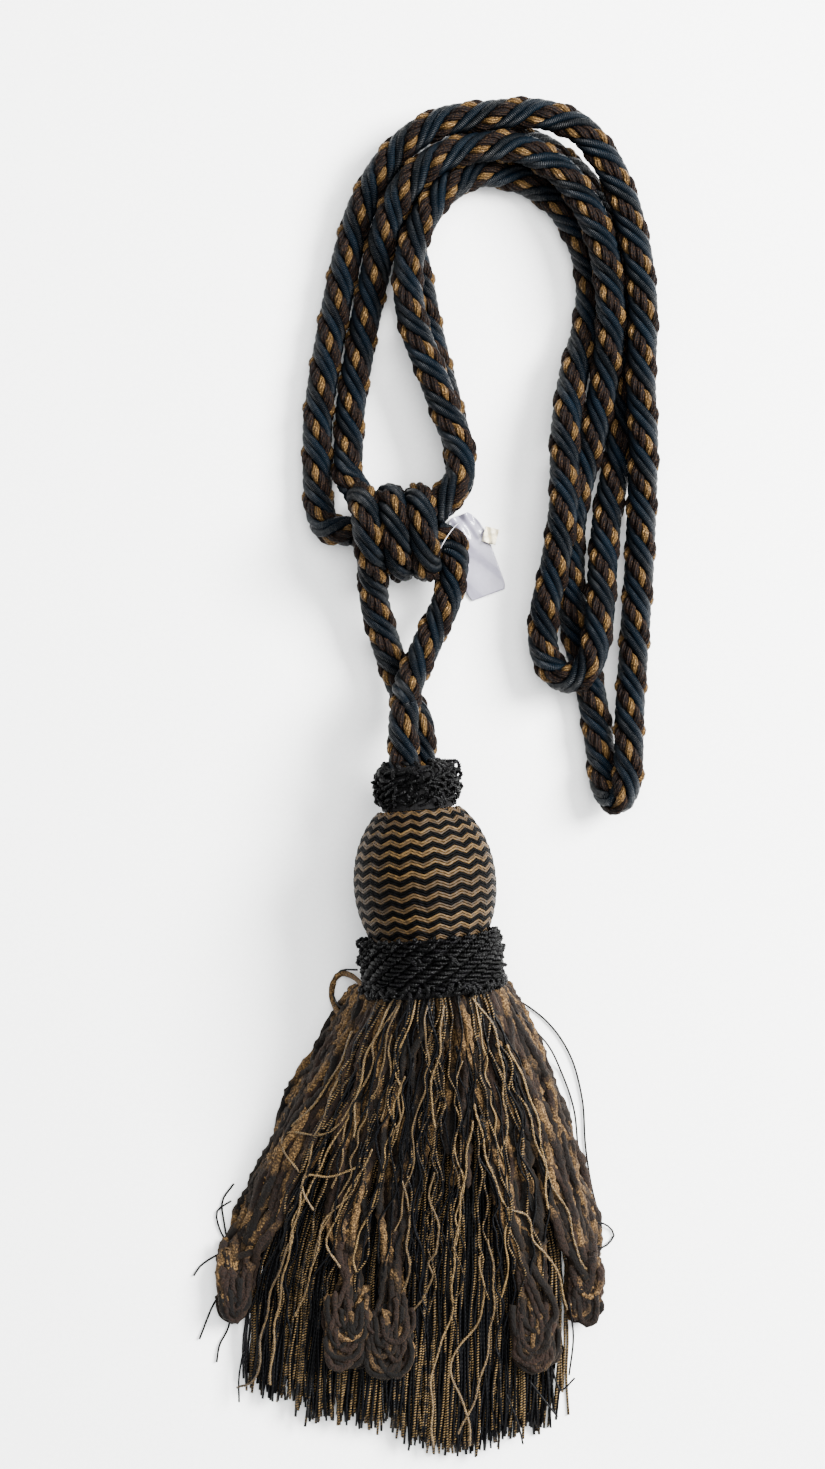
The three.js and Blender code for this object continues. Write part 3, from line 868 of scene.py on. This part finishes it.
# Hanks of chenille: X of the middle and half width at five heights, then the looped end's
# middle X, low Y, half width and half height, and the number of yarns.
HANK_Y = (76, 50, 25, 0, -18)
LEFT_HANKS = [
    ((-17, -30, -42, -54, -62.5), (5, 8, 9, 8, 6), (-65, -43, 6, 4.0), 32),
    ((-9, -17, -23, -26, -27), (5, 8, 9, 7.5, 5), (-26, -57, 8, 3.6), 30),
    ((0, -2, -6, -9.5, -11.5), (5, 8, 8, 6.5, 4.5), (-12, -61, 7.5, 3.6), 28),
]
RIGHT_HANKS = [
    ((10, 13, 12, 12, 14), (5, 6, 5, 4, 3), None, 12),
    ((15, 21, 28, 33, 36.5), (6, 8, 8.5, 7.5, 5.5), (38, -59, 7.5, 3.4), 28),
    ((23, 33, 41, 50, 54.5), (5, 8, 9, 8, 6), (55, -44, 5.6, 4.0), 32),
]


YARN_Y = np.arange(74, -19, -11.3)    # where each yarn's way down is set
LOOPS_START = -26
FOLDS = 5
# One fold of a looped end, across and up: down one side, round the bottom and up the other.
DROOP = ((-1, 1), (-0.8, 0.3), (0, 0), (0.8, 0.3), (1, 1), (0.9, 1.35))

# A loop of chenille that stands out beside the lower ruff.
STRAY_LOOP = [(-17, 70), (-23, 76), (-29, 77), (-32, 72), (-31, 66), (-27, 62)]


def looped_end(bundle):
    """A yarn that hangs to its hank's end and turns back up in drooping loops."""
    middle, low, half_width, half_height = bundle
    side = 1 if chance.uniform() < 0.5 else -1
    points = []
    for fold in range(FOLDS):
        bottom = low + chance.uniform(0, 16)
        drop = chance.uniform(5, 10)
        centre = middle + half_width * chance.uniform(-0.4, 0.4)
        reach = half_width * chance.uniform(0.22, 0.75)
        lift = half_height * chance.uniform(0.4, 2.1)
        base = float(spread_height(CUT_SPREAD, middle, bottom))
        for across, rise in DROOP:
            points.append((centre + side * reach * across, bottom + rise * drop, base + lift))
        side = -side
    return points


def add_hanks(name, hanks, *nodes):
    """Chenille yarns: half of them end in loops, and a few end early."""
    threads = Threads()
    for centres, halves, bundle, count in hanks:
        for k in range(count):
            place = chance.uniform(-1, 1)
            depth = chance.uniform(0.72, 1.0)
            points = []
            for y in YARN_Y:
                centre = np.interp(-y, -np.array(HANK_Y), centres)
                half = np.interp(-y, -np.array(HANK_Y), halves)
                x = centre + half * (0.85 * place + chance.uniform(-0.33, 0.33))
                z = 1.2 + (spread_height(CHENILLE_SPREAD, x, y) - 1.6) * depth
                points.append((x, y, max(z + chance.uniform(-0.6, 0.6), 1.4)))
            looped = bundle and k % 2 == 0
            if looped:
                points += looped_end(bundle)
            elif not bundle or k % 8 == 1:
                points = points[:chance.integers(4, 9)]
            path = curve(points, 1.5)
            length = travel(path)
            period = chance.uniform(26, 60)
            dye = 0.3 + 0.42 * np.sin(TAU * length / period + chance.uniform(0, TAU))
            dye = dye + chance.uniform(-0.25, 0.25)
            # Painted shade: the looped ends get less tan, so they read darker, as the shade among their
            # crowded loops makes them.
            dye = dye - 0.14 * (path[:, 1] < LOOPS_START)
            end = np.minimum(length, length[-1] - length) / 2
            size = chance.uniform(1.0, 1.55) * np.clip(0.35 + end, 0, 1)
            size = size * (1 - 0.3 * np.clip((-24 - path[:, 1]) / 8, 0, 1))
            threads.sweep(path, size, 6, UP, 0, dye, flat=1.2, rough=0.3)
    if hanks is LEFT_HANKS:
        threads.sweep(laid_on_top(STRAY_LOOP, 1.2, 1.5), 0.95, 6, UP, 0, 0.9, rough=0.2)
    ride_tassel(threads.make(name, [CHENILLE]), "chenille", *nodes)


# The most visible gold cords: X and Y along each.
GOLD_ROUTES = [
    [(15, 74), (23, 62), (26, 50), (27, 35), (28, 25), (26, 19)],
    [(-9, 74), (-17, 58), (-20, 50), (-23, 36), (-24, 24)],
    [(-22, 38), (-33, 25), (-46, 24), (-48, 18), (-43, 11)],
    [(-22, 14), (-32, 10), (-40, 10), (-41, 5), (-38, -2)],
    [(-22, 12), (-30, -4), (-33, -14), (-29, -22)],
    [(-8, 9), (-5, 0), (-6, -12), (-5, -20), (-7, -30)],
    [(3, 12), (2, 2), (5, -8), (4, -16), (1, -20), (3, -25), (0, -32), (-5, -38)],
    [(17, 36), (22, 14), (28, 0), (35, -4), (37, -12), (42, -18), (47, -28), (49, -38)],
    [(34, 36), (38, 22), (43, 8), (50, -6), (53, -20), (58, -25), (61, -20)],
    [(19, -18), (20, -38), (12, -50), (9, -60), (14, -70), (16, -84)],
    [(16, 30), (13, 6), (10, -20), (9, -40), (3, -58), (3, -84)],
    [(-29, 44), (-38, 20), (-43, -2), (-47, -20), (-51, -42), (-53, -64)],
    [(-24, 60), (-31, 44), (-38, 34), (-45, 26)],
    [(-18, 20), (-24, 6), (-34, -6), (-38, -22), (-44, -40)],
    [(6, 70), (5, 55), (2, 40), (4, 28)],
    [(28, 56), (37, 34), (41, 14), (42, -2)],
    [(22, -12), (24, -30), (22, -50), (18, -66), (12, -80)],
    [(-46, -14), (-52, -30), (-56, -48), (-58, -62), (-64.5, -66)],
]

STRAY_RADIUS = 0.34
TOP_CORDS = 84
GOLD_CORDS = 10    # besides those with a route of their own

# Dark cords that stray past the fringe's edges.
STRAYS = [
    [(-66, 4), (-70, -2), (-69.5, -9), (-68, -15), (-64, -14)],
    [(-67, -2), (-72, -6), (-70, -14), (-66, -18)],
    [(-66, -36), (-68, -46), (-71, -52), (-72, -58)],
    [(-60, -34), (-62, -50), (-64, -62), (-64, -71)],
    [(30, 70), (43, 60), (51, 48), (55, 33), (56, 18), (58, 4), (61, -8)],
    [(31, 66), (42, 54), (48, 42), (52, 30), (53, 18)],
    [(58, -9), (63, -10), (66, -14), (62, -18), (58, -16)],
    [(50, -36), (51.5, -48), (50, -61)],
    [(44, -58), (47, -66), (52, -62)],
    [(36, -62), (42, -70), (46, -75)],
    [(28, -66), (32, -76), (34, -84)],
    [(-60, -18), (-70, -20), (-77, -24), (-80, -28)],
    [(-62, -26), (-72, -36), (-78, -50)],
    [(-23, 79), (-29, 78), (-32, 72), (-29, 66), (-24, 68)],
]


def wandering_route():
    """A cord's way down over the chenille, never quite straight."""
    place = chance.uniform(-0.93, 0.93)
    low = chance.uniform(-58, 30)
    high = 76 if chance.uniform() < 0.6 else chance.uniform(20, 60)
    route = []
    drift = chance.uniform(-1, 1)
    sway = chance.uniform(0, 1.3)
    wave = chance.uniform(3, 6)
    for y in np.arange(high, min(low, high - 30), -5):
        left, right = (np.interp(y, CUT_SPREAD[:, 0], CUT_SPREAD[:, c]) for c in (1, 2))
        drift += chance.uniform(-1.8, 1.8)
        x = (left + right) / 2 + (right - left) / 2 * place + drift * min(1, (78 - y) / 25)
        x += sway * math.sin(y / wave)
        route.append((x, y))
    return route


def add_loose_cords():
    """Twisted gold cords and single dark ones, lying over the chenille."""
    gold = Threads()
    for route in GOLD_ROUTES:
        path = laid_on_top(route, 1.1, 0.75, 0.4)
        twisted_pair(gold, path, 0.29, 0.27, 2.0, (0, 0), 5)
    for k in range(GOLD_CORDS):
        path = laid_on_top(wandering_route(), 0.9, 0.8)
        twisted_pair(gold, path, 0.26, 0.24, 1.8, (0, 0), 5)
    ride_tassel(gold.make("gold_cords", [GOLD_CORD]), "cut_cord")
    top = Threads()
    for k in range(TOP_CORDS):
        path = laid_on_top(wandering_route(), chance.uniform(0.1, 1.3), 2.5)
        striped = chance.uniform() < 0.45
        top.sweep(path, chance.uniform(0.32, 0.46), 5, UP, 1 if striped else 0, dye=0.5)
    for route in STRAYS:
        top.sweep(laid_on_top(route, 0.8, 2.0), STRAY_RADIUS, 6)
    ride_tassel(top.make("top_cords", [BLACK_CUT, STRIPED_CORD]), "cut_cord")


add_head()
add_ruffs()
add_stopper()
add_fringe_core()
add_cut_cords()
add_hanks("chenille_left", LEFT_HANKS, "chenille_fringe", "chenille_end_1", "chenille_end_2",
          "chenille_end_3")
add_hanks("chenille_right", RIGHT_HANKS, "chenille_end_4", "chenille_end_5")
add_loose_cords()

# ---- hang tag ------------------------------------------------------------------------

TAG_CENTRE = (17.0, 223)
TAG_TURN = math.radians(20.5)
TAG_SIZE = (13.6, 31)
TAG_THREAD = [
    (4.6, 221.3, 24.5), (6.5, 225, 26), (9, 229, 23), (11.2, 232, 13), (12.4, 233.4, 1.8),
]
TAG_THREAD_RADIUS = 0.16


def thin_grid(name, size, cells, material, thickness, shape):
    """A grid bent by a function of its place and given a thickness."""
    bpy.ops.object.select_all(action="DESELECT")
    bpy.ops.mesh.primitive_grid_add(x_subdivisions=cells[0], y_subdivisions=cells[1], size=1)
    piece = bpy.context.object
    piece.name = piece.data.name = name
    for vertex in piece.data.vertices:
        x, y, z = shape(vertex.co.x * size[0], vertex.co.y * size[1])
        vertex.co = (x * MM, y * MM, z * MM)
    solid = piece.modifiers.new("thickness", "SOLIDIFY")
    solid.thickness = thickness * MM
    solid.offset = 1
    bpy.ops.object.modifier_apply(modifier=solid.name)
    bpy.ops.object.shade_smooth()
    piece.data.materials.append(material)
    return piece


def tag_shape(x, y):
    """The film: flat below, pinched and folded towards its hole above."""
    half = TAG_SIZE[1] / 2
    upper = max(0, y / half)
    corner = max(0, -y - half + 3) / 3
    x *= 1 - 0.55 * upper ** 3 - 0.14 * corner ** 2
    y -= 1.6 * upper ** 3
    fold = upper * (0.9 * math.sin(1.5 * x + 0.35 * y) + 0.6 * math.sin(0.9 * x - 0.5 * y))
    z = 0.7 + 0.9 * upper + 0.7 * fold + 0.25 * math.sin(0.3 * y + 0.5 * x) + 0.25
    world_x = TAG_CENTRE[0] + x * math.cos(TAG_TURN) - y * math.sin(TAG_TURN)
    world_y = TAG_CENTRE[1] + x * math.sin(TAG_TURN) + y * math.cos(TAG_TURN)
    return world_x, world_y, max(z, 0.3)


def scrap_shape(x, y):
    """A crumpled scrap of paper on the film."""
    z = 2.6 + 0.8 * math.sin(2.3 * x + y) + 0.6 * math.sin(1.9 * y - x)
    return 23.0 + x + 0.3 * y, 229 + y - 0.3 * x, z


def add_tag():
    film = thin_grid("film_tag", TAG_SIZE, (28, 60), film_finish(), 0.25, tag_shape)
    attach(film, "tag")
    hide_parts("tag_sheet")
    scrap = thin_grid("paper_scrap", (4.6, 5.2), (16, 16), paper_finish(), 0.15, scrap_shape)
    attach(scrap, "tag")
    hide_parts("tag_eyelet")
    threads = Threads()
    threads.sweep(curve(TAG_THREAD, 0.8), TAG_THREAD_RADIUS, 6, (1, 0, 0))
    thread = threads.make("tag_nylon", [nylon_finish()])
    start, end = (tuple(np.array(TAG_THREAD[k]) * MM) for k in (0, -1))
    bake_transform(thread)
    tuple(start)
    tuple(end)
    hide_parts("tag_thread")


add_tag()

# ---- CAD pieces that stay ------------------------------------------------------------


def dress(node, material):
    """Gives a CAD piece its only material."""
    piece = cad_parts[node]
    piece.data.materials.clear()
    piece.data.materials.append(material)


dress("head_mould", wood_finish())
for band in ("upper_ruff_band", "lower_ruff_band"):
    dress(band, DARK_WEAVE)

# ---- floor and light -----------------------------------------------------------------


def add_floor():
    bpy.ops.object.select_all(action="DESELECT")
    bpy.ops.mesh.primitive_plane_add(size=6)
    floor = bpy.context.object
    floor.name = "table"
    finish = Finish("pale_cloth")
    cloth = finish.noise(700, 3)
    finish.feed("Base Color", finish.ramp(cloth, (0.3, "#f2f2f0"), (0.7, "#f7f7f5")))
    finish.feed("Roughness", 0.85 + 0.1 * cloth)
    floor.data.materials.append(finish.material)


def area_light(name, place, target, size, power):
    light = bpy.data.objects.new(name, bpy.data.lights.new(name, "AREA"))
    light.data.size = size
    light.data.energy = power
    light.location = place
    direction = np.array(target) - np.array(place)
    flat = math.hypot(direction[0], direction[1])
    light.rotation_euler = (math.atan2(flat, -direction[2]), 0,
                            math.atan2(direction[1], direction[0]) - math.pi / 2)
    bpy.context.scene.collection.objects.link(light)


def add_light():
    world = bpy.data.worlds.new("soft_room")
    world.use_nodes = True
    background = world.node_tree.nodes["Background"]
    background.inputs["Color"].default_value = (0.93, 0.96, 1, 1)
    background.inputs["Strength"].default_value = 1.2
    bpy.context.scene.world = world
    area_light("window", (1.1, 0.6, 1.0), (0, 0.15, 0), 0.7, 180)
    area_light("overhead", (0.2, 0.5, 1.6), (0, 0.15, 0), 1.2, 50)


add_floor()
add_light()
